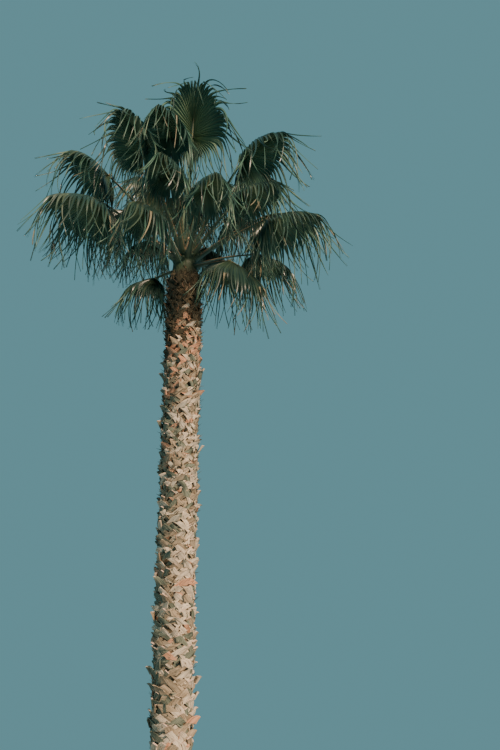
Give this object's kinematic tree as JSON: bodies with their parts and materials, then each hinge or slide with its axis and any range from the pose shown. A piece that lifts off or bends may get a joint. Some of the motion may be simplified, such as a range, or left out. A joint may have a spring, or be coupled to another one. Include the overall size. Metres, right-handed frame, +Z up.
{
  "type": "fan palm tree",
  "caption": "Single-trunked fan palm: tall straight trunk clad in criss-cross cut leaf bases, under a round crown of long-stalked drooping fan leaves.",
  "frame": {"origin": "middle of the flat cut under the trunk, at ground level", "axes": "+Z up along the trunk, -Y towards the side that the picture shows, +X to the picture's right"},
  "size_m": [3.8243, 3.5968, 10.723],
  "materials": {
    "bark": "weathered tan cut leaf bases over grey-brown bark",
    "stalk": "smooth green leaf stalk, slightly glossy",
    "leaf": "dark green leathery leaf, satin"
  },
  "bodies": {
    "root": {"trunk": "bark", "spear": "leaf", "stalk_01": "stalk", "stalk_02": "stalk", "stalk_03": "stalk", "stalk_04": "stalk", "stalk_05": "stalk", "stalk_06": "stalk", "stalk_07": "stalk", "stalk_08": "stalk", "stalk_09": "stalk", "stalk_10": "stalk", "stalk_11": "stalk", "stalk_12": "stalk", "stalk_13": "stalk", "stalk_14": "stalk", "stalk_15": "stalk", "stalk_16": "stalk", "stalk_17": "stalk", "stalk_18": "stalk", "stalk_19": "stalk", "stalk_20": "stalk", "stalk_21": "stalk", "stalk_22": "stalk", "stalk_23": "stalk", "stalk_24": "stalk", "fan_01": "leaf", "fan_02": "leaf", "fan_03": "leaf", "fan_04": "leaf", "fan_05": "leaf", "fan_06": "leaf", "fan_07": "leaf", "fan_08": "leaf", "fan_09": "leaf", "fan_10": "leaf", "fan_11": "leaf", "fan_12": "leaf", "fan_13": "leaf", "fan_14": "leaf", "fan_15": "leaf", "fan_16": "leaf", "fan_17": "leaf", "fan_18": "leaf", "fan_19": "leaf", "fan_20": "leaf", "fan_21": "leaf", "fan_22": "leaf", "fan_23": "leaf", "fan_24": "leaf"}
  },
  "joints": []
}
